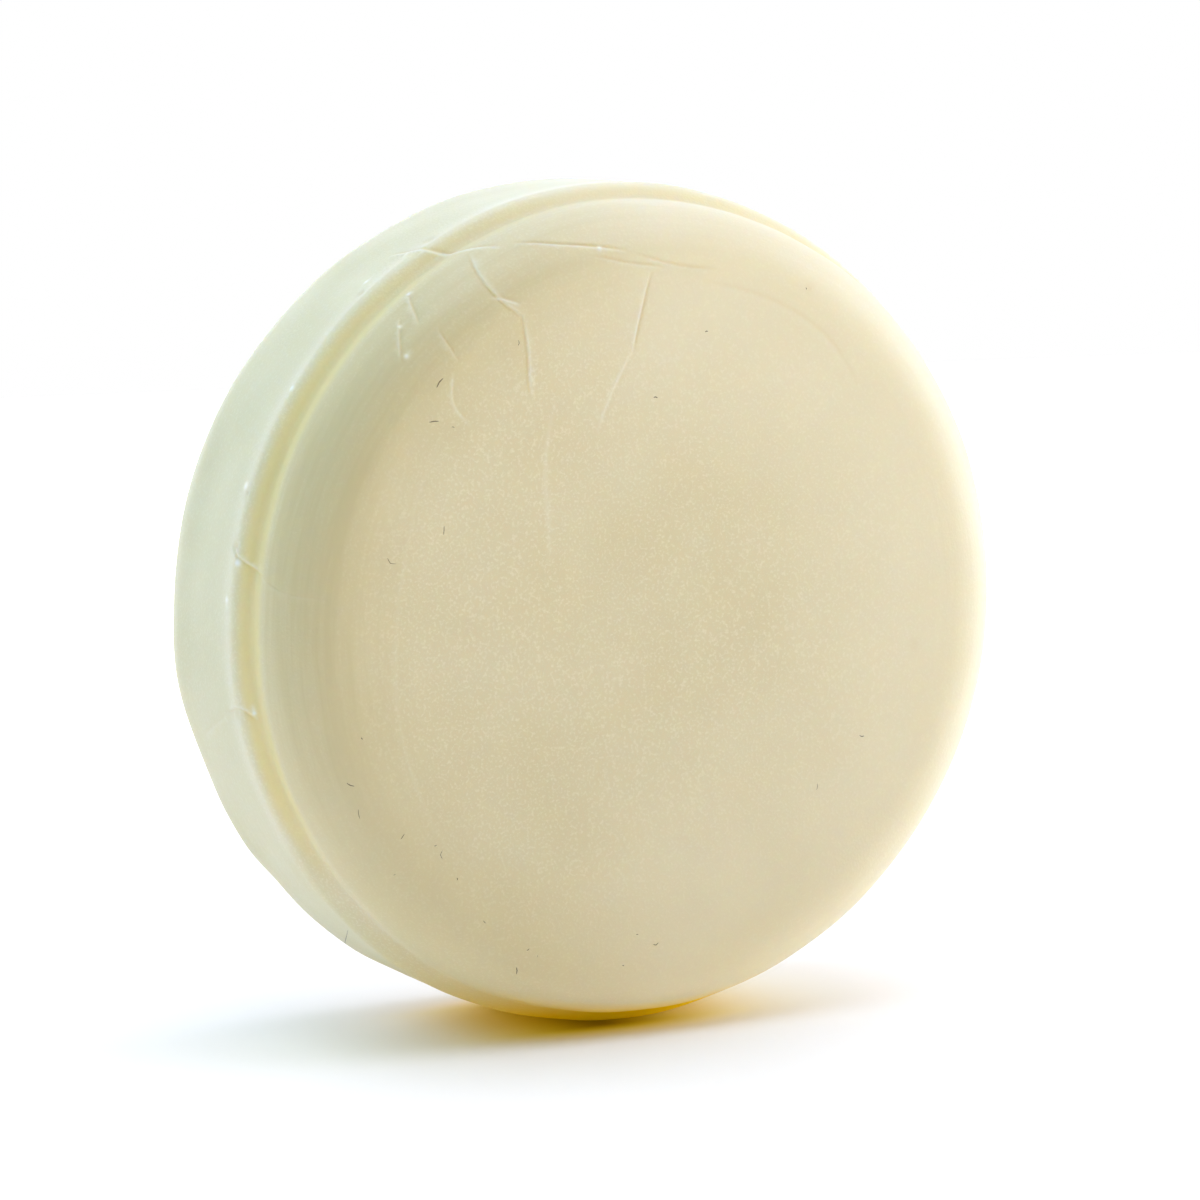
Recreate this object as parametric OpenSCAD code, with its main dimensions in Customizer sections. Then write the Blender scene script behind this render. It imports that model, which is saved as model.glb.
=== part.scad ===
// Round puck of shaving soap, standing on its rim.
// It was pressed between two dies. The back die made the wider drum, the
// front die made the narrower cap, and a groove runs around between them.
// The puck's axis lies along Y, with the cap's flat face towards -Y. The
// origin is under the puck's middle, on the surface that the rim stands on.

/* [Puck] */
// Diameter of the drum, the widest part
puck_d = 64; // [50:0.5:90]
// Thickness from the flat back face to the flat front face
puck_t = 22.2; // [20:0.1:32]
// Radius that rounds each face into the side
shoulder_r = 5.4; // [3:0.1:7]

/* [Groove] */
// Thickness of the cap, from the groove to the flat front face
cap_t = 5.6; // [3:0.1:7]
// How much smaller the cap's radius is than the drum's
cap_step = 1.2; // [0.8:0.1:2.5]
// Width of the groove along the puck's axis
groove_w = 1.0; // [0.6:0.1:2]
// Depth of the groove below the cap's side
groove_depth = 0.3; // [0.2:0.1:0.6]
// Radius of the rounded lip where the drum meets the groove
lip_r = 0.8; // [0.2:0.1:0.8]

/* [Hidden] */
$fn = 180;
drum_r = puck_d / 2;
drum_t = puck_t - cap_t - groove_w;
cap_r = drum_r - cap_step;
groove_r = cap_r - groove_depth;

// Half section of a flat disc of radius r and thickness t, from height 0 up,
// with its lower edge rounded by low_r and its upper edge by high_r.
module rounded_half_section(r, t, low_r, high_r) {
    square([r - low_r, t - high_r]);
    translate([0, low_r]) square([r - high_r, t - low_r]);
    translate([0, low_r]) square([r, t - low_r - high_r]);
    translate([r - low_r, low_r]) circle(low_r);
    translate([r - high_r, t - high_r]) circle(high_r);
}

// Wide half: flat back face, round shoulder, straight side, rounded lip.
module drum_section() {
    intersection() {
        square([drum_r, drum_t]);
        rounded_half_section(drum_r, drum_t, shoulder_r, lip_r);
    }
}

// Narrow half: its side turns into the flat front face in one round shoulder.
module cap_section() {
    intersection() {
        translate([0, drum_t + groove_w]) square([cap_r, cap_t]);
        rounded_half_section(cap_r, puck_t, shoulder_r, shoulder_r);
    }
}

// The soap under the groove, which joins the two halves into one piece. The
// groove has a square wall on the drum's side and slopes up to the cap.
module core_section() {
    groove_end = drum_t + groove_w;
    polygon([
        [0, drum_t / 2],
        [groove_r, drum_t / 2],
        [groove_r, groove_end - groove_depth],
        [cap_r, groove_end],
        [cap_r / 2, groove_end + cap_t / 2],
        [0, groove_end + cap_t / 2]
    ]);
}

module soap_puck() {
    color("cornsilk")
        translate([0, puck_t / 2, drum_r])
            rotate([90, 0, 0])
                rotate_extrude() {
                    drum_section();
                    cap_section();
                    core_section();
                }
}

soap_puck();
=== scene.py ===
"""A puck of shaving soap standing on its rim, on a white surface in soft light.

Everything is in metres, in the row's frame: the puck's axis lies along Y, its flat front
face looks towards -Y, and it stands on the floor at z = 0. A place on the puck is given by
two numbers: the angle around the axis, counted anticlockwise from +X as seen from the
front, and the distance along the surface from the middle of the front face.
"""

import math

import bmesh
import bpy
import numpy as np
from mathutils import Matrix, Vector


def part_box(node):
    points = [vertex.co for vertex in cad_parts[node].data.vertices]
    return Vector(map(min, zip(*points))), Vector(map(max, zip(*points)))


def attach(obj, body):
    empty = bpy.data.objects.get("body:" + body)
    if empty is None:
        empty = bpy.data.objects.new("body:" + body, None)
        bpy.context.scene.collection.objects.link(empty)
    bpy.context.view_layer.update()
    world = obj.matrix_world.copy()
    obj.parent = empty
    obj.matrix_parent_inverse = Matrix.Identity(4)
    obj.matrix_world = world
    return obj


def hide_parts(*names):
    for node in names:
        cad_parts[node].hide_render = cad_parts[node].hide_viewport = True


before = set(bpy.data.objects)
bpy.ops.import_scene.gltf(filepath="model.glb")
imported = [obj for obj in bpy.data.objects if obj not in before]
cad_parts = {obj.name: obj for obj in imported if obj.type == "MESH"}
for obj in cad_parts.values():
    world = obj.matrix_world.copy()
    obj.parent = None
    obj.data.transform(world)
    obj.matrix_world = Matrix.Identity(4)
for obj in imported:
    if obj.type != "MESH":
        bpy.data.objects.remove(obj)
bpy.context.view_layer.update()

MM = 0.001

# --- Sizes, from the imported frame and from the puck's design -----------------------------
# The cap's edge, the groove and the lip are softer here than in the design
low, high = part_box("soap_puck")
DRUM_R = (high.x - low.x) / 2
CENTRE = Vector((0, 0, DRUM_R))
FRONT_Y = low.y
BACK_Y = high.y
SHOULDER_R = 5.4 * MM
CAP_T = 5.6 * MM
CAP_R = DRUM_R - 1.2 * MM
CAP_EDGE_R = 1.8 * MM
GROOVE_W = 1.6 * MM
GROOVE_DEPTH = 0.04 * MM
GROOVE_BOTTOM_R = 0.95 * MM
GROOVE_BOTTOM_AT = 0.55 * MM
LIP_R = 1.0 * MM
ARC_POINTS = 25


# --- The half section that is turned around the axis --------------------------------------
def rounded_path(corners):
    """Points (r, y) along straight runs through corners (r, y, radius of rounding)."""
    points = []
    for i, (r, y, radius) in enumerate(corners):
        here = Vector((r, y))
        if radius == 0:
            points.append((r, y))
            continue
        before = (Vector(corners[i - 1][:2]) - here).normalized()
        after = (Vector(corners[i + 1][:2]) - here).normalized()
        half = before.angle(after) / 2
        centre = here + (before + after).normalized() * radius / math.sin(half)
        start = here + before * radius / math.tan(half) - centre
        end = here + after * radius / math.tan(half) - centre
        turn = math.atan2(start.cross(end), start.dot(end))
        first = math.atan2(start.y, start.x)
        for a in np.linspace(first, first + turn, ARC_POINTS):
            points.append((centre.x + radius * math.cos(a), centre.y + radius * math.sin(a)))
    return np.array(points)


SECTION = rounded_path(
    [
        (0, FRONT_Y, 0),
        (CAP_R, FRONT_Y, SHOULDER_R),
        (CAP_R, FRONT_Y + CAP_T, CAP_EDGE_R),
        (CAP_R - GROOVE_DEPTH, FRONT_Y + CAP_T + GROOVE_BOTTOM_AT, GROOVE_BOTTOM_R),
        (DRUM_R, FRONT_Y + CAP_T + GROOVE_W, LIP_R),
        (DRUM_R, BACK_Y, SHOULDER_R),
        (0, BACK_Y, 0),
    ]
)
SECTION_ALONG = np.concatenate(
    [[0], np.cumsum(np.linalg.norm(np.diff(SECTION, axis=0), axis=1))]
)
PATH_END = SECTION_ALONG[-1]

# Near the bottom left the groove has closed up, and the cap swells smoothly into the drum
SMOOTH_FROM_Y = FRONT_Y + SHOULDER_R
SMOOTH_TO_Y = FRONT_Y + CAP_T + GROOVE_W + 1.2 * MM
SIDE = SECTION[:, 0] > CAP_R - SHOULDER_R + 0.1 * MM  # leaves out both flat faces
SMOOTH_FROM = np.interp(SMOOTH_FROM_Y, SECTION[SIDE, 1], SECTION_ALONG[SIDE])
SMOOTH_TO = np.interp(SMOOTH_TO_Y, SECTION[SIDE, 1], SECTION_ALONG[SIDE])


def smoothstep(value, start, end):
    """0 before the start, 1 after the end, and a smooth rise between them."""
    t = np.clip((value - start) / (end - start), 0, 1)
    return t * t * (3 - 2 * t)


def closed_share(angle):
    """How far the groove has closed up at these angles, from 0 to 1."""
    degrees = np.degrees(angle) % 360
    closing = smoothstep(degrees, 202, 222)
    opening = smoothstep(degrees, 257, 267)
    return closing * (1 - opening)


def profile(angle, along):
    """Radius and y of the undamaged surface at these angles and distances along it."""
    r = np.interp(along, SECTION_ALONG, SECTION[:, 0])
    y = np.interp(along, SECTION_ALONG, SECTION[:, 1])
    closed = closed_share(angle)
    t = (along - SMOOTH_FROM) / (SMOOTH_TO - SMOOTH_FROM)
    closed = np.where((t > 0) & (t < 1), closed, 0)
    smooth_r = CAP_R + (DRUM_R - CAP_R) * smoothstep(t, 0, 1)
    smooth_y = SMOOTH_FROM_Y + (SMOOTH_TO_Y - SMOOTH_FROM_Y) * t
    return r + (smooth_r - r) * closed, y + (smooth_y - y) * closed


def surface(angle, along):
    """Points and outward normals at these angles (radians) and distances along."""
    r, y = profile(angle, along)
    step = 0.05 * MM
    r_ahead, y_ahead = profile(angle, along + step)
    r_behind, y_behind = profile(angle, along - step)
    dr, dy = r_ahead - r_behind, y_ahead - y_behind
    length = np.maximum(np.hypot(dr, dy), 1e-12)
    nr, ny = dy / length, -dr / length
    c, s = np.cos(angle), np.sin(angle)
    points = np.stack([r * c, y, DRUM_R + r * s], -1)
    normals = np.stack([nr * c, ny, nr * s], -1)
    return points, normals


def places(pairs):
    """Points and normals at (angle in degrees, distance along in mm) pairs."""
    pairs = np.array(pairs, float)
    return surface(np.radians(pairs[:, 0]), pairs[:, 1] * MM)


# --- Marks on the soap ------------------------------------------------------------------------
# Creases: (angle, along) points; width, depth, ridge on the left-hand side as one walks along
# the points (all mm); then how dark-yellow the bottom is (painted shade) and how chalky the ridge
# is (a painted highlight).
CREASES = [
    # The fold that crosses the groove at the upper left
    ([(114, 31.5), (118, 34), (122, 37), (123, 39)], 0.20, 0.06, 0.10, 0.35, 0.45),
    # The long crease that runs down from the fold onto the face, and its branch
    ([(118, 32.5), (120, 30), (120, 27.5), (118, 25.5)], 0.15, 0.07, 0.05, 0.30, 0.30),
    ([(118, 25.5), (120, 23), (124, 20.5)], 0.15, 0.07, 0.05, 0.30, 0.25),
    ([(117, 26.5), (120, 28)], 0.13, 0.05, 0.05, 0.15, 0.45),
    # Along the edge of the face at the top
    ([(97, 27.5), (106, 29), (112, 31)], 0.14, 0.07, 0.05, 0.30, 0.30),
    ([(91, 26), (97, 26.5), (102, 27.5)], 0.13, 0.05, 0.03, 0.30, 0.15),
    ([(81, 26), (88, 26), (95, 27)], 0.13, 0.05, 0.03, 0.25, 0.10),
    ([(46, 23.5), (58, 25), (83, 25)], 0.21, 0.02, 0.01, 0.15, 0.05),
    # The steep crease right of the middle of the top
    ([(98, 20), (95, 23), (93, 25.5)], 0.13, 0.07, 0.04, 0.30, 0.25),
    ([(112, 15), (103, 18), (98, 20)], 0.15, 0.02, 0.03, 0.02, 0.20),
    # Short ones on the left shoulder
    ([(131, 30), (128, 33)], 0.12, 0.05, 0.05, 0.25, 0.25),
    ([(137, 29), (132, 31.5)], 0.12, 0.05, 0.05, 0.20, 0.25),
    ([(131, 26), (130, 28.5)], 0.12, 0.05, 0.04, 0.30, 0.20),
    ([(137, 22), (137, 24), (133, 25.5)], 0.13, 0.02, 0.04, 0.02, 0.25),
    # The break in the groove at the left, and the fine crease that runs on from it
    ([(169, 37), (171, 35.5), (172, 33.5)], 0.13, 0.07, 0.08, 0.15, 0.35),
    ([(174, 28), (174, 31), (172, 33.5)], 0.12, 0.02, 0.02, 0.10, 0.10),
    # The step in the lip at the lower left, and the band's crease beyond it
    ([(191, 38), (190, 36), (192, 35)], 0.14, 0.07, 0.05, 0.20, 0.30),
    ([(191, 38), (193, 40.5), (196, 44.5)], 0.15, 0.02, 0.03, 0.05, 0.10),
    # Faint lines where the flat face begins, and down the face
    ([(222, 24), (203, 23), (173, 21.5), (143, 23)], 0.16, 0.00, 0.02, 0.00, 0.07),
    ([(120, 19), (142, 12.5), (155, 11)], 0.19, 0.00, 0.01, 0.00, 0.15),
]

# Crumbs, hollows and spots: (angle, along), radius and depth in mm (what stands up has a
# negative depth), then how dark-yellow and how chalky they are
DENTS = [
    # Chalky crumbs that stand on the lip and around the fold
    ((129, 38), 0.26, -0.05, 0.00, 0.85),
    ((147, 36.5), 0.30, -0.05, 0.00, 1.00),
    ((161, 37), 0.34, -0.05, 0.00, 1.00),
    ((171, 36), 0.28, -0.05, 0.00, 1.00),
    ((176, 37), 0.30, -0.05, 0.00, 0.85),
    ((191, 35), 0.19, -0.06, 0.00, 1.00),
    ((128, 33), 0.19, -0.05, 0.00, 0.90),
    ((133, 31), 0.19, -0.05, 0.00, 0.75),
    ((136, 29), 0.21, -0.05, 0.00, 0.85),
    ((101, 28), 0.21, -0.05, 0.00, 1.00),
    # Small hollows in the lip
    ((131, 37), 0.38, 0.10, 0.20, 0.00),
    ((162, 36.5), 0.21, 0.10, 0.25, 0.00),
    ((169, 36.5), 0.38, 0.15, 0.30, 0.00),
    ((191, 36.5), 0.34, 0.13, 0.20, 0.00),
    ((119, 37), 0.59, 0.10, 0.30, 0.00),
    # Dark-yellow spots: at the foot of the cap, on the right, and on the face
    ((251, 33), 0.60, 0.06, 0.70, 0.00),
    ((63, 27), 0.38, 0.03, 0.20, 0.00),
    ((351, 22), 0.50, 0.01, 0.15, 0.00),
    ((244, 13), 0.30, 0.01, 0.15, 0.00),
]

# Flats worn on the drum's rear edge, and one swelling with a negative depth: (angle, along),
# half length and depth in mm
FLATS = [
    ((204, 46.5), 1.8, 0.12),
    ((212, 46), 2.4, 0.14),
    ((220, 47), 2.0, 0.14),
    ((159, 46), 1.2, -0.10),
]

# How high the soap's own unevenness is: all over, all over but finer, and on the rear edge
BROAD_WAVE = 0.05 * MM
SMALL_WAVE = 0.02 * MM
REAR_EDGE_WAVE = 0.13 * MM


def resample(points, spacing):
    """Points along the same broken line, no further apart than the spacing."""
    points = np.array(points, float)
    run = np.concatenate([[0], np.cumsum(np.linalg.norm(np.diff(points, axis=0), axis=1))])
    where = np.linspace(0, run[-1], max(2, int(run[-1] / spacing) + 1))
    return np.stack([np.interp(where, run, points[:, k]) for k in range(points.shape[1])], -1)


def cut_corners(pairs):
    """A rounder line through the same two ends: each corner is cut off, twice over."""
    points = np.array(pairs, float)
    for _ in range(2):
        first = 0.75 * points[:-1] + 0.25 * points[1:]
        second = 0.25 * points[:-1] + 0.75 * points[1:]
        inner = np.stack([first, second], 1).reshape(-1, 2)
        points = np.concatenate([points[:1], inner, points[-1:]])
    return points


def crease_line(pairs):
    """The crease's line in space, with the surface's normals along it."""
    return places(resample(cut_corners(pairs), 0.5))


def near(points, centre, reach):
    """The numbers of the points that lie within reach of the centre."""
    return np.flatnonzero(np.linalg.norm(points - centre, axis=1) < reach)


def to_line(points, line):
    """For each point: the distance to the line, the offset, the segment and its share."""
    best = np.full(len(points), 1e9)
    offset = np.zeros((len(points), 3))
    segment = np.zeros(len(points), int)
    share = np.zeros(len(points))
    count = len(line) - 1
    for k in range(count):
        a, b = line[k], line[k + 1]
        t = np.clip((points - a) @ (b - a) / max((b - a) @ (b - a), 1e-18), 0, 1)
        away = points - (a + t[:, None] * (b - a))
        distance = np.linalg.norm(away, axis=1)
        closer = distance < best
        best[closer] = distance[closer]
        offset[closer] = away[closer]
        segment[closer] = k
        share[closer] = (k + t[closer]) / count
    return best, offset, segment, share


def bell(x, width):
    """1 in the middle, and nearly 0 beyond twice the width."""
    return np.exp(-((x / width) ** 2))


def waves(points, size, seed, count=14):
    """A smooth random height of about -1 to 1 whose bumps are about this size."""
    random = np.random.default_rng(seed)
    directions = random.normal(size=(count, 3))
    directions /= np.linalg.norm(directions, axis=1, keepdims=True)
    directions *= random.uniform(0.6, 1.4, (count, 1)) * math.pi / size
    phases = random.uniform(0, 2 * math.pi, count)
    total = np.zeros(len(points))
    for heading, phase in zip(directions, phases):
        total += np.cos(points @ heading + phase)
    return total / math.sqrt(count)


def relief(points):
    """Height above the true surface at these points, and how dark-yellow and chalky it is:
    painted shade in crease furrows and painted highlights on their ridges, besides the spots,
    hollows and crumbs.
    """
    lift = BROAD_WAVE * waves(points, 9 * MM, seed=3)
    lift += SMALL_WAVE * waves(points, 3 * MM, seed=5)
    on_left = smoothstep(-points[:, 0] / DRUM_R, 0.3, 0.8)
    rear_edge = bell(points[:, 1] - BACK_Y + SHOULDER_R, 4 * MM)
    lift += REAR_EDGE_WAVE * waves(points, 5 * MM, seed=8) * rear_edge * (0.3 + 0.7 * on_left)
    stain_and_shade = np.zeros(len(points))
    chalk_and_highlight = np.zeros(len(points))
    for pairs, width, depth, ridge, yellow, white in CREASES:
        line, normals = crease_line(pairs)
        w = width * MM
        middle = line.mean(0)
        reach = np.linalg.norm(line - middle, axis=1).max() + 5 * w
        ids = near(points, middle, reach)
        distance, offset, segment, share = to_line(points[ids], line)
        left = np.cross(normals[segment], line[segment + 1] - line[segment])
        left /= np.maximum(np.linalg.norm(left, axis=1, keepdims=True), 1e-12)
        side = (offset * left).sum(1)
        ends = smoothstep(share, 0, 0.2) * smoothstep(1 - share, 0, 0.2)
        beyond = np.sqrt(np.maximum(distance**2 - side**2, 0))
        ends = (0.35 + 0.65 * ends) * bell(beyond, w)
        furrow = bell(side, w) * ends
        bank = bell(side - 1.3 * w, w) * ends
        lift[ids] += (ridge * bank - depth * furrow) * MM
        # The furrow gets painted shade and the ridge beside it a painted highlight
        stain_and_shade[ids] = np.maximum(stain_and_shade[ids], yellow * furrow)
        chalk_and_highlight[ids] = np.maximum(chalk_and_highlight[ids], white * bank)
    for pair, radius, depth, yellow, white in DENTS:
        centre = places([pair])[0][0]
        ids = near(points, centre, 3 * radius * MM)
        share = bell(np.linalg.norm(points[ids] - centre, axis=1), radius * MM)
        lift[ids] -= depth * share * MM
        stain_and_shade[ids] = np.maximum(stain_and_shade[ids], yellow * share)
        chalk_and_highlight[ids] = np.maximum(chalk_and_highlight[ids], white * share)
    for pair, half, depth in FLATS:
        centre = places([pair])[0][0]
        ids = near(points, centre, 3 * half * MM)
        lift[ids] -= depth * bell(np.linalg.norm(points[ids] - centre, axis=1), half * MM) * MM
    return lift, stain_and_shade, chalk_and_highlight


# --- The soap's mesh ------------------------------------------------------------------------
# Steps around the axis; the seam, where the angle jumps by a full turn, is far from every mark;
# and how near a mark the mesh is split once, twice and three times
AROUND = 300
SEAM = -math.pi / 6
REFINE_MARGINS = (0.35 * MM, 0.12 * MM, -0.06 * MM)

# Where the groove's tint and painted shade and the lip rise and fall, and the lip's crest, in mm
# along the section
GROOVE_TINT_AND_SHADE_RISE = (32.9, 33.9)
GROOVE_TINT_AND_SHADE_FALL = (35.2, 36.1)
LIP_RISE = (32, 33.5)
LIP_FALL = (38, 40)
LIP_CREST = 36.8

# How fast the painted amber glow where soap meets floor, and the painted warm glow above it, fade
# with height
PAINTED_GLOW_FADE = 2.6 * MM
PAINTED_WARM_GLOW_FADE = 9 * MM


def section_stations():
    """Where the rings of the mesh cross the section: close together where it bends."""
    # From and to how far along, and the gap between rings, in mm
    spans = [
        (0, 14, 1.0),
        (14, 25, 0.5),
        (25, 33.6, 0.32),
        (33.6, 37.6, 0.13),
        (37.6, 45.5, 0.4),
        (45.5, 55, 0.35),
        (55, PATH_END / MM, 1.5),
    ]
    stations = [np.linspace(a, b, int((b - a) / gap) + 1, endpoint=False) for a, b, gap in spans]
    return np.concatenate(stations)[1:] * MM


def flat_grid(around):
    """The whole skin laid out flat: x is the angle, y the distance along the section."""
    stations = section_stations()
    angles = np.arange(around) * 2 * math.pi / around + SEAM
    grid_along, grid_angle = np.meshgrid(stations, angles, indexing="ij")
    x = np.concatenate([[0], grid_angle.ravel(), [0]])
    y = np.concatenate([[0], grid_along.ravel(), [PATH_END]])
    faces = []
    last = len(x) - 1
    for i in range(around):
        j = (i + 1) % around
        faces.append((0, 1 + i, 1 + j))
        for k in range(len(stations) - 1):
            a, b = 1 + k * around, 1 + (k + 1) * around
            faces.append((a + i, b + i, b + j, a + j))
        top = 1 + (len(stations) - 1) * around
        faces.append((top + i, last, top + j))
    return np.stack([x, y, np.zeros(len(x))], -1), faces


def distance_to_marks(angle, along):
    """How far each place lies from the nearest mark, less that mark's own width."""
    points = surface(angle, along)[0]
    nearest = np.full(len(points), 1.0)
    for pairs, width, *_ in CREASES:
        line = crease_line(pairs)[0]
        middle = line.mean(0)
        ids = near(points, middle, np.linalg.norm(line - middle, axis=1).max() + 3 * MM)
        distance = to_line(points[ids], line)[0] - 2.4 * width * MM
        nearest[ids] = np.minimum(nearest[ids], distance)
    for pair, radius, *_ in DENTS:
        centre = places([pair])[0][0]
        ids = near(points, centre, 3 * MM)
        distance = np.linalg.norm(points[ids] - centre, axis=1) - 1.6 * radius * MM
        nearest[ids] = np.minimum(nearest[ids], distance)
    return nearest


def refine(bm, margin):
    """Splits the edges of the flat grid that lie near a mark."""
    flat = np.array([v.co[:] for v in bm.verts])
    distance = distance_to_marks(flat[:, 0], flat[:, 1])
    close = distance < margin
    bm.verts.index_update()
    edges = [e for e in bm.edges if close[e.verts[0].index] and close[e.verts[1].index]]
    bmesh.ops.subdivide_edges(bm, edges=edges, cuts=1, use_grid_fill=True)


def band(along, rise, fall):
    """1 between a rise and a fall along the section, and 0 before and after them."""
    rising = smoothstep(along, rise[0] * MM, rise[1] * MM)
    falling = smoothstep(along, fall[0] * MM, fall[1] * MM)
    return rising * (1 - falling)


def paint(mesh, angle, along, points, normals, stain_and_shade, chalk_and_highlight):
    """Stores on each vertex what the soap's material needs to know about its place."""
    open_share = 1 - closed_share(angle)
    # The groove's band: a yellower tone with painted shade and bounced light in the valley,
    # lessened at the top where the valley is lit from above
    less_painted_shade_at_top = 1 - 0.6 * smoothstep(np.sin(angle), 0.55, 1.0)
    groove = band(along, GROOVE_TINT_AND_SHADE_RISE, GROOVE_TINT_AND_SHADE_FALL) * open_share * less_painted_shade_at_top
    # A whitish line along the lip's crest: partly scuffs, partly a painted highlight on its
    # rounding
    chalk_and_highlight = np.maximum(chalk_and_highlight, 0.2 * open_share * bell(along - LIP_CREST * MM, 1.0 * MM))
    lip = band(along, LIP_RISE, LIP_FALL)
    facing_floor = np.maximum(smoothstep(-normals[:, 2], 0.7, 0.95), lip)
    height = points[:, 2]
    # Painted amber glow where the soap meets the floor, standing in for light that passes through
    # the soap, and a faint painted warm glow higher up
    contact = np.minimum(1.3 * np.exp(-height / PAINTED_GLOW_FADE) * facing_floor, 1)
    contact = np.maximum(contact, 0.12 * np.exp(-height / PAINTED_WARM_GLOW_FADE))
    layers = (("stain_and_shade", stain_and_shade), ("chalk_and_highlight", chalk_and_highlight), ("groove", groove), ("contact", contact))
    for name, values in layers:
        layer = mesh.attributes.new(name, "FLOAT", "POINT")
        layer.data.foreach_set("value", values)
    # The material reads the place on the puck from this: cosine, sine and millimetres along
    ring = np.stack([np.cos(angle), np.sin(angle), along / MM], -1)
    layer = mesh.attributes.new("ring", "FLOAT_VECTOR", "POINT")
    layer.data.foreach_set("vector", ring.ravel())


def make_soap():
    """Lays the skin out flat, splits it finely near the marks, then wraps it around the axis."""
    flat, faces = flat_grid(AROUND)
    mesh = bpy.data.meshes.new("soap")
    mesh.from_pydata(flat.tolist(), [], faces)
    bm = bmesh.new()
    bm.from_mesh(mesh)
    for margin in REFINE_MARGINS:
        refine(bm, margin)
    bmesh.ops.triangulate(bm, faces=[f for f in bm.faces if len(f.verts) > 4])
    bm.to_mesh(mesh)
    bm.free()

    flat = np.empty(len(mesh.vertices) * 3)
    mesh.vertices.foreach_get("co", flat)
    angle, along = flat.reshape(-1, 3)[:, 0], flat.reshape(-1, 3)[:, 1]
    points, normals = surface(angle, along)
    lift, stain_and_shade, chalk_and_highlight = relief(points)
    points = points + normals * lift[:, None]
    points[:, 2] = np.maximum(points[:, 2], 0)
    mesh.vertices.foreach_set("co", points.ravel())
    mesh.update()
    mesh.shade_smooth()

    paint(mesh, angle, along, points, normals, stain_and_shade, chalk_and_highlight)
    soap = bpy.data.objects.new("soap", mesh)
    bpy.context.scene.collection.objects.link(soap)
    return soap


# --- Fibres stuck to the soap ---------------------------------------------------------------
# Where short fibres lie: how many, from and to which angle, from and to how far along
FIBRE_REGIONS = [
    (6, 110, 170, 18, 28),
    (10, 215, 275, 22, 29),
    (5, 190, 225, 24, 31),
    (3, 60, 100, 10, 28),
    (2, 300, 335, 7, 20),
]
# One long fibre; the thinnest and the thickest; the half length of a short one and what can come
# on top of it, in mm; and its largest bend as a share of that half length
LONG_FIBRE = [(227, 38.5), (231, 42.5), (235, 46.5)]
FIBRE_THICKNESS = (0.04, 0.08)
SHORTEST_HALF = 0.08
EXTRA_HALF = 0.35
LARGEST_BEND = 0.6


def fibre_lines(seed=4):
    """The long fibre and the scattered short ones: (angle, along) points and a thickness."""
    random = np.random.default_rng(seed)
    thinnest, thickest = FIBRE_THICKNESS
    lines = [(LONG_FIBRE, thinnest)]
    for count, angle_from, angle_to, along_from, along_to in FIBRE_REGIONS:
        for _ in range(count):
            angle = random.uniform(angle_from, angle_to)
            along = random.uniform(along_from, along_to)
            half = SHORTEST_HALF + EXTRA_HALF * random.uniform() ** 3
            bend = half * random.uniform(-LARGEST_BEND, LARGEST_BEND)
            way = random.uniform(0, math.pi)
            per_degree = math.radians(along)
            points = []
            for run, aside in ((-half, 0), (0, bend), (half, 0)):
                across = run * math.cos(way) - aside * math.sin(way)
                outward = run * math.sin(way) + aside * math.cos(way)
                points.append((angle + across / per_degree, along + outward))
            lines.append((points, random.uniform(thinnest, thickest)))
    return lines


def make_fibres(sides=6):
    """Thin tubes that lie half sunk in the soap and taper at both ends."""
    verts = []
    faces = []
    for pairs, thickness in fibre_lines():
        points, normals = places(resample(pairs, 0.15))
        points = points + normals * relief(points)[0][:, None]
        count = len(points)
        along = np.gradient(points, axis=0)
        along /= np.linalg.norm(along, axis=1, keepdims=True)
        across = np.cross(along, normals)
        first = len(verts)
        for i in range(count):
            end = abs(2 * i / (count - 1) - 1)
            radius = thickness / 2 * MM * (1 - 0.6 * end**3)
            for k in range(sides):
                a = 2 * math.pi * k / sides
                away = math.cos(a) * across[i] + math.sin(a) * normals[i]
                verts.append(points[i] + radius * away)
        for i in range(count - 1):
            for k in range(sides):
                a, b = first + i * sides, first + (i + 1) * sides
                faces.append((a + k, b + k, b + (k + 1) % sides, a + (k + 1) % sides))
        faces.append([first + k for k in range(sides)])
        faces.append([first + (count - 1) * sides + k for k in reversed(range(sides))])
    mesh = bpy.data.meshes.new("fibres")
    mesh.from_pydata([tuple(v) for v in verts], [], faces)
    mesh.shade_smooth()
    fibres = bpy.data.objects.new("fibres", mesh)
    bpy.context.scene.collection.objects.link(fibres)
    return fibres


# --- Materials ---------------------------------------------------------------------------------
def new_material(name):
    """A material with its node tree and its one shader."""
    material = bpy.data.materials.new(name)
    material.use_nodes = True
    shader = material.node_tree.nodes["Principled BSDF"]
    return material, material.node_tree, shader


# Each of these adds a node to the tree and gives back the output to link from
def add_noise(tree, vector, scale, detail=2.0, roughness=0.5):
    noise = tree.nodes.new("ShaderNodeTexNoise")
    noise.inputs["Scale"].default_value = scale
    noise.inputs["Detail"].default_value = detail
    noise.inputs["Roughness"].default_value = roughness
    tree.links.new(vector, noise.inputs["Vector"])
    return noise.outputs["Fac"]


def add_attribute(tree, name, output="Fac"):
    node = tree.nodes.new("ShaderNodeAttribute")
    node.attribute_name = name
    return node.outputs[output]


def add_math(tree, operation, first, second):
    node = tree.nodes.new("ShaderNodeMath")
    node.operation = operation
    for socket, value in zip(node.inputs, (first, second)):
        if isinstance(value, (int, float)):
            socket.default_value = value
        else:
            tree.links.new(value, socket)
    return node.outputs[0]


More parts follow.
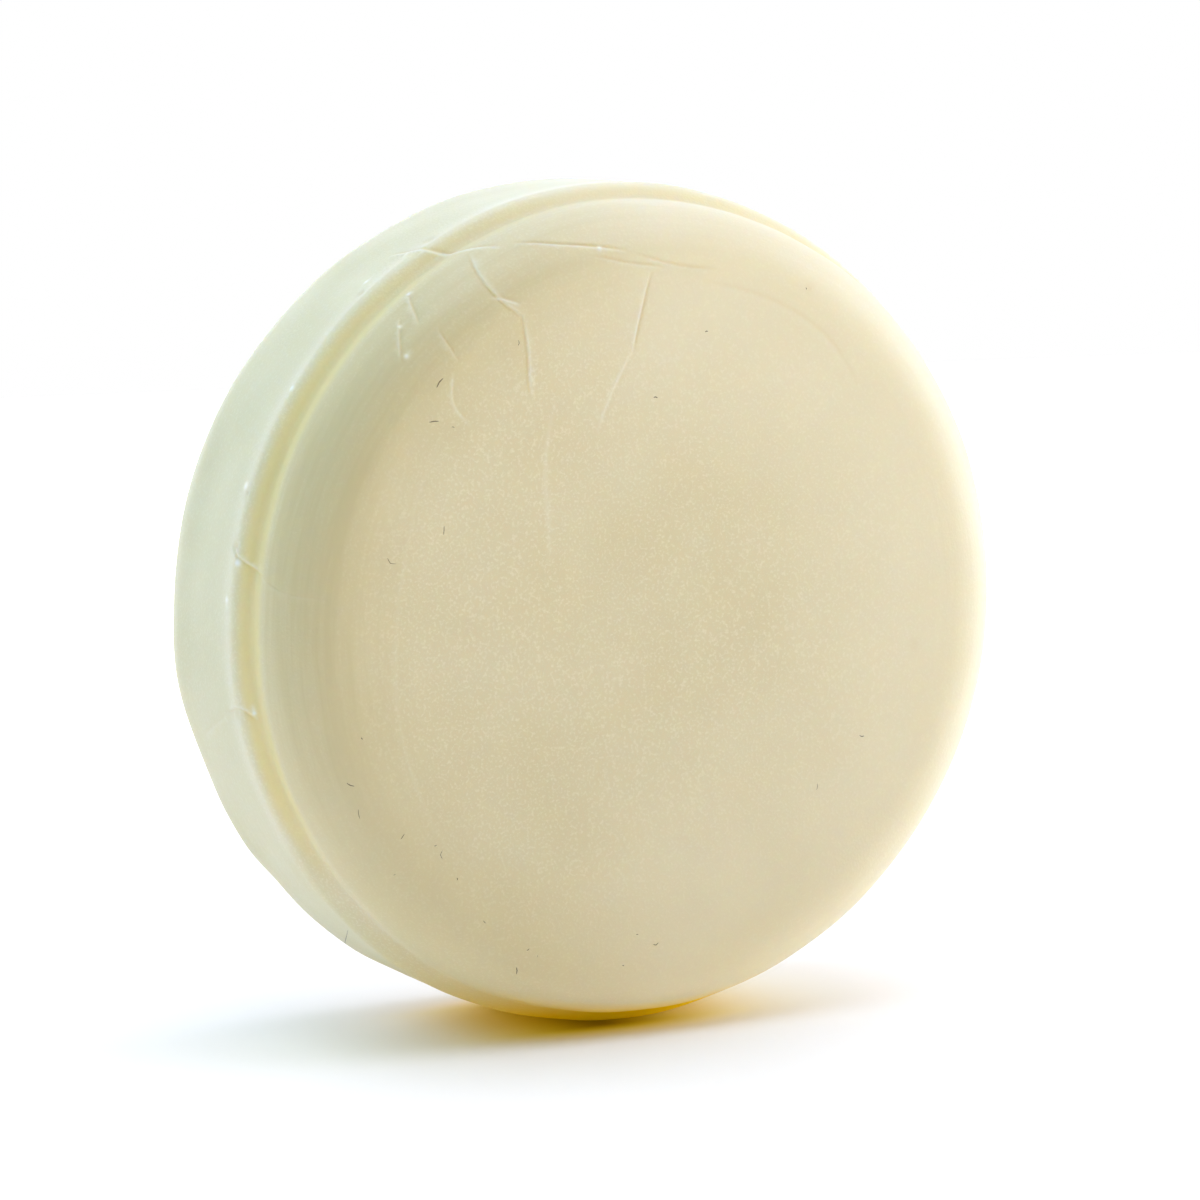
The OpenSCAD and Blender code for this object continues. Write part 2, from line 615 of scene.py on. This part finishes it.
def add_range(tree, value, start, end, low_value, high_value):
    """Turns start..end into low_value..high_value, and holds those beyond the ends."""
    node = tree.nodes.new("ShaderNodeMapRange")
    node.inputs["From Min"].default_value = start
    node.inputs["From Max"].default_value = end
    node.inputs["To Min"].default_value = low_value
    node.inputs["To Max"].default_value = high_value
    tree.links.new(value, node.inputs["Value"])
    return node.outputs["Result"]


def add_mix(tree, share, first, second):
    """The first colour where the share is 0 and the second where it is 1."""
    node = tree.nodes.new("ShaderNodeMix")
    node.data_type = "RGBA"
    colours = [s for s in node.inputs if s.type == "RGBA"]
    tree.links.new(share, node.inputs["Factor"])
    for socket, value in zip(colours, (first, second)):
        if isinstance(value, tuple):
            socket.default_value = (*value, 1)
        else:
            tree.links.new(value, socket)
    return [s for s in node.outputs if s.type == "RGBA"][0]


# Colours, as linear red, green and blue
SOAP = (0.765, 0.70, 0.485)
SOAP_DEEP = (0.745, 0.67, 0.44)
SOAP_LIGHT = (0.885, 0.82, 0.635)
SOAP_DARK = (0.79, 0.69, 0.46)
SOAP_REAR = (0.73, 0.64, 0.41)
OLIVE_PAINTED_SHADE = (0.69, 0.61, 0.365)
PALE_GREEN_PAINTED_LIGHT = (0.67, 0.68, 0.47)
GROOVE_TINT_AND_SHADE = (0.87, 0.76, 0.38)
AMBER_STAIN_AND_SHADE = (0.70, 0.55, 0.26)
HONEY_PAINTED_GLOW = (0.95, 0.60, 0.0)
CHALK_AND_HIGHLIGHT = (0.96, 0.96, 0.91)
FIBRE = (0.13, 0.10, 0.06)
FIBRE_PALE = (0.38, 0.31, 0.18)


def soap_material():
    """Waxy soap: clouds and grain all over, streaks and deeper tones by place, painted shade on
    the left shoulder and in the groove, painted light on the drum and the right of the rim, and a
    painted amber glow below.
    """
    material, tree, shader = new_material("soap")
    where = tree.nodes.new("ShaderNodeTexCoord").outputs["Object"]
    clouds = add_noise(tree, where, 160, detail=4)
    grain = add_noise(tree, where, 4800, detail=2)
    ring = add_attribute(tree, "ring", "Vector")
    stretched = tree.nodes.new("ShaderNodeVectorMath")
    stretched.operation = "MULTIPLY"
    stretched.inputs[1].default_value = (2.0, 2.0, 1.3)
    tree.links.new(ring, stretched.inputs[0])
    lines = add_noise(tree, stretched.outputs["Vector"], 1.0, detail=3, roughness=0.65)
    streaks = add_range(tree, lines, 0.4, 0.7, 0, 0.5)

    colour = add_mix(tree, add_range(tree, clouds, 0.35, 0.65, 0, 1), SOAP, SOAP_DEEP)
    colour = add_mix(tree, add_range(tree, grain, 0.5, 0.7, 0, 0.65), colour, SOAP_LIGHT)
    colour = add_mix(tree, add_range(tree, grain, 0.3, 0.5, 0.65, 0), colour, SOAP_DARK)
    split = tree.nodes.new("ShaderNodeSeparateXYZ")
    tree.links.new(ring, split.inputs["Vector"])
    cosine = split.outputs["X"]
    sine = split.outputs["Y"]
    along = split.outputs["Z"]
    # Paler towards the rim, except at the left: painted light where the rim faces the lamps on
    # the right
    outward = add_range(tree, along, 8, 24, 0, 0.7)
    painted_light_rightward = add_range(tree, cosine, -0.6, 0, 0, 1)
    colour = add_mix(tree, add_math(tree, "MULTIPLY", outward, painted_light_rightward), colour, SOAP_LIGHT)
    # Painted shade on the shoulder, olive and mostly at the left where it faces away from the
    # light, with real streaks on it
    side = add_range(tree, along, 20.5, 27.5, 0, 1)
    left_side = add_range(tree, cosine, -0.95, 0.0, 1.0, 0.15)
    side = add_math(tree, "MULTIPLY", side, left_side)
    painted_shade_before_groove = add_range(tree, along, 32.5, 34, 0.7, 0)
    upper = add_range(tree, sine, -0.6, -0.2, 0.15, 1)
    on_cap = add_range(tree, along, 34, 36, 1, 0.25)
    streaks = add_math(tree, "MULTIPLY", streaks, add_math(tree, "MULTIPLY", upper, on_cap))
    streaks_and_painted_shade = add_math(tree, "MULTIPLY", side, add_math(tree, "ADD", streaks, painted_shade_before_groove))
    colour = add_mix(tree, streaks_and_painted_shade, colour, OLIVE_PAINTED_SHADE)
    # Greener on the drum, which is painted cool light from the left, and a deeper yellow on its
    # right and on the back
    painted_light_on_drum = add_range(tree, along, 35, 38, 0, 0.5)
    colour = add_mix(tree, painted_light_on_drum, colour, PALE_GREEN_PAINTED_LIGHT)
    on_back = add_range(tree, along, 50, 56, 0, 0.8)
    drum_right = add_range(tree, along, 38, 42, 0, 0.8)
    drum_right = add_math(
        tree, "MULTIPLY", drum_right, add_range(tree, cosine, 0.3, 0.8, 0, 1)
    )
    colour = add_mix(tree, add_math(tree, "MAXIMUM", on_back, drum_right), colour, SOAP_REAR)
    # The marks, with painted shade in the creases and painted highlights on their ridges and the
    # lip, and the painted amber glow where the soap meets the floor
    # The groove: a yellower tone with painted shade in the valley
    groove = add_attribute(tree, "groove")
    colour = add_mix(tree, add_math(tree, "MULTIPLY", groove, 0.8), colour, GROOVE_TINT_AND_SHADE)
    # Painted shade in the creases on top of the dark-yellow spots; then crumbs, with painted
    # highlights on crease ridges and the lip
    colour = add_mix(tree, add_attribute(tree, "stain_and_shade"), colour, AMBER_STAIN_AND_SHADE)
    colour = add_mix(tree, add_attribute(tree, "chalk_and_highlight"), colour, CHALK_AND_HIGHLIGHT)
    # The painted amber glow near the floor, as colour and as emission
    contact = add_attribute(tree, "contact")
    colour = add_mix(tree, contact, colour, HONEY_PAINTED_GLOW)
    tree.links.new(colour, shader.inputs["Base Color"])

    # The soap glows amber near the floor though it is no lamp: painted light
    shader.inputs["Emission Color"].default_value = (*HONEY_PAINTED_GLOW, 1)
    tree.links.new(add_math(tree, "MULTIPLY", contact, 0.13), shader.inputs["Emission Strength"])
    rough = add_range(tree, clouds, 0.3, 0.7, 0.44, 0.56)
    rough = add_math(tree, "ADD", rough, add_math(tree, "MULTIPLY", contact, 0.4))
    tree.links.new(rough, shader.inputs["Roughness"])
    shader.inputs["Subsurface Weight"].default_value = 1.0
    shader.inputs["Subsurface Radius"].default_value = (1.0, 0.80, 0.50)
    shader.inputs["Subsurface Scale"].default_value = 2.2 * MM

    height = add_math(tree, "ADD", grain, add_math(tree, "MULTIPLY", lines, 1.5))
    bump = tree.nodes.new("ShaderNodeBump")
    bump.inputs["Strength"].default_value = 0.35
    bump.inputs["Distance"].default_value = 0.06 * MM
    tree.links.new(height, bump.inputs["Height"])
    tree.links.new(bump.outputs["Normal"], shader.inputs["Normal"])
    return material


def fibre_material():
    """Dark brown fluff."""
    material, tree, shader = new_material("fibre")
    where = tree.nodes.new("ShaderNodeTexCoord").outputs["Object"]
    patches = add_noise(tree, where, 900, detail=2)
    fluff = add_noise(tree, where, 9000, detail=2)
    colour = add_mix(tree, add_range(tree, patches, 0.35, 0.65, 0, 1), FIBRE, FIBRE_PALE)
    tree.links.new(colour, shader.inputs["Base Color"])
    tree.links.new(add_range(tree, fluff, 0.3, 0.7, 0.6, 0.8), shader.inputs["Roughness"])
    bump = tree.nodes.new("ShaderNodeBump")
    bump.inputs["Strength"].default_value = 0.4
    bump.inputs["Distance"].default_value = 0.02 * MM
    tree.links.new(fluff, bump.inputs["Height"])
    tree.links.new(bump.outputs["Normal"], shader.inputs["Normal"])
    return material


def floor_material():
    """White, but with a honey-coloured painted shadow just beside the line of contact, and a
    painted glow that is dim near the puck and bright away from it.
    """
    # The painted shadow is long along Y, like the line of contact, and lies a little to its left
    painted_shadow_radius = 7 * MM
    material, tree, shader = new_material("floor")
    split = tree.nodes.new("ShaderNodeSeparateXYZ")
    where = tree.nodes.new("ShaderNodeTexCoord").outputs["Object"]
    tree.links.new(where, split.inputs["Vector"])
    across = add_math(tree, "MULTIPLY_ADD", split.outputs["X"], 1 / painted_shadow_radius)
    across.node.inputs[2].default_value = 0.25
    from_middle = add_math(tree, "ABSOLUTE", split.outputs["Y"], 0)
    beyond = add_range(tree, from_middle, 4.6 * MM, 14.6 * MM, 0, 5)
    across_squared = add_math(tree, "POWER", across, 2)
    beyond_squared = add_math(tree, "POWER", beyond, 2)
    far = add_math(tree, "ADD", across_squared, beyond_squared)
    painted_shadow = add_math(tree, "POWER", math.e, add_math(tree, "MULTIPLY", far, -1))
    # How white the floor is: nearly 0 in the painted shadow under the puck, and 1 away from it
    white = add_math(tree, "SUBTRACT", 1, add_math(tree, "MULTIPLY", painted_shadow, 0.96))
    colour = tree.nodes.new("ShaderNodeCombineColor")
    length = tree.nodes.new("ShaderNodeVectorMath")
    length.operation = "LENGTH"
    tree.links.new(where, length.inputs[0])
    distance = length.outputs["Value"]
    red = add_math(tree, "MULTIPLY", add_math(tree, "POWER", white, 0.38), 0.95)
    green = add_math(tree, "MULTIPLY", add_math(tree, "POWER", white, 0.48), 0.92)
    blue = add_math(tree, "MULTIPLY", add_math(tree, "POWER", white, 3), 0.92)
    tree.links.new(red, colour.inputs["Red"])
    tree.links.new(green, colour.inputs["Green"])
    tree.links.new(blue, colour.inputs["Blue"])
    tree.links.new(colour.outputs["Color"], shader.inputs["Base Color"])
    shader.inputs["Roughness"].default_value = 0.6
    # A painted glow: the floor emits its own colour, dim near the puck and bright far from it
    tree.links.new(colour.outputs["Color"], shader.inputs["Emission Color"])
    lit = add_range(tree, distance, 0.012, 0.26, 0.07, 1.1)
    tree.links.new(lit, shader.inputs["Emission Strength"])
    return material


# --- Floor, lights and camera ----------------------------------------------------------------
def make_floor(half=0.6):
    mesh = bpy.data.meshes.new("floor")
    corners = [(-half, -half, 0), (half, -half, 0), (half, half, 0), (-half, half, 0)]
    mesh.from_pydata(corners, [], [(0, 1, 2, 3)])
    floor = bpy.data.objects.new("floor", mesh)
    bpy.context.scene.collection.objects.link(floor)
    floor.data.materials.append(floor_material())


def direction(azimuth, elevation):
    """From the puck towards a viewer or a lamp. Azimuth 0 is in front, towards -Y."""
    az, el = math.radians(azimuth), math.radians(elevation)
    return Vector((math.sin(az) * math.cos(el), -math.cos(az) * math.cos(el), math.sin(el)))


def make_lamp(name, azimuth, elevation, distance, width, height, power, colour):
    lamp = bpy.data.lights.new(name, "AREA")
    lamp.shape = "RECTANGLE"
    lamp.size, lamp.size_y = width, height
    lamp.energy = power
    lamp.color = colour
    holder = bpy.data.objects.new(name, lamp)
    away = direction(azimuth, elevation)
    holder.location = CENTRE + away * distance
    holder.rotation_euler = away.to_track_quat("Z", "Y").to_euler()
    bpy.context.scene.collection.objects.link(holder)


# The photograph's viewpoint: angles in degrees, then the lens and the sensor in mm
CAMERA_AZIMUTH = -27.9
CAMERA_ELEVATION = 7.1
CAMERA_DISTANCE = 332 * MM
CAMERA_AIM = CENTRE + Vector((0.3 * MM, 0, 0))
LENS = 130
SENSOR_WIDTH = 36


def make_camera():
    camera = bpy.data.cameras.new("camera")
    camera.sensor_width = SENSOR_WIDTH
    camera.lens = LENS
    camera.clip_start = 0.01
    holder = bpy.data.objects.new("camera", camera)
    back = direction(CAMERA_AZIMUTH, CAMERA_ELEVATION)
    holder.location = CAMERA_AIM + back * CAMERA_DISTANCE
    holder.rotation_euler = back.to_track_quat("Z", "Y").to_euler()
    bpy.context.scene.collection.objects.link(holder)
    bpy.context.scene.camera = holder


# Name, azimuth and elevation in degrees, distance, width and height in metres, power in watts
# and colour
LAMPS = [
    ("right", 85, 10, 0.40, 0.35, 0.35, 1.3, (0.6, 0.8, 1.0)),
    ("right_front", 40, 20, 0.40, 0.30, 0.30, 0.3, (1.0, 0.75, 0.1)),
    ("top", 0, 85, 0.40, 0.40, 0.40, 1.15, (0.95, 0.9, 1.0)),
    ("top_left", -80, 55, 0.40, 0.30, 0.30, 0.45, (0.4, 0.9, 1.0)),
    ("top_right", 80, 55, 0.40, 0.30, 0.30, 0.25, (0.95, 0.75, 1.0)),
]
# The brightest part of the glow behind the puck, as red, green and blue
GLOW = (2.0, 2.1, 2.3)


def make_world():
    """The studio is bright behind the puck and fades to dark on the viewer's side."""
    world = bpy.data.worlds.new("world")
    world.use_nodes = True
    tree = world.node_tree
    toward = tree.nodes.new("ShaderNodeVectorMath")
    toward.operation = "DOT_PRODUCT"
    toward.inputs[1].default_value = (0, 1, 0)
    tree.links.new(tree.nodes.new("ShaderNodeTexCoord").outputs["Generated"], toward.inputs[0])
    clipped = add_math(tree, "MAXIMUM", toward.outputs["Value"], 0)
    glow = tree.nodes.new("ShaderNodeBackground")
    glow.inputs["Color"].default_value = (*GLOW, 1)
    tree.links.new(add_math(tree, "POWER", clipped, 2), glow.inputs["Strength"])
    backdrop = tree.nodes["Background"]
    backdrop.inputs["Color"].default_value = (1, 1, 1, 1)
    choose = tree.nodes.new("ShaderNodeMixShader")
    ray = tree.nodes.new("ShaderNodeLightPath").outputs["Is Camera Ray"]
    tree.links.new(ray, choose.inputs["Fac"])
    tree.links.new(glow.outputs["Background"], choose.inputs[1])
    tree.links.new(backdrop.outputs["Background"], choose.inputs[2])
    tree.links.new(choose.outputs["Shader"], tree.nodes["World Output"].inputs["Surface"])
    bpy.context.scene.world = world


# --- The scene ----------------------------------------------------------------------------------
soap = make_soap()
soap.data.materials.append(soap_material())
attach(soap, "root")
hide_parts("soap_puck")
fibres = make_fibres()
fibres.data.materials.append(fibre_material())
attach(fibres, "root")
make_floor()
make_world()
for lamp in LAMPS:
    make_lamp(*lamp)
make_camera()
bpy.context.scene.view_settings.view_transform = "Standard"
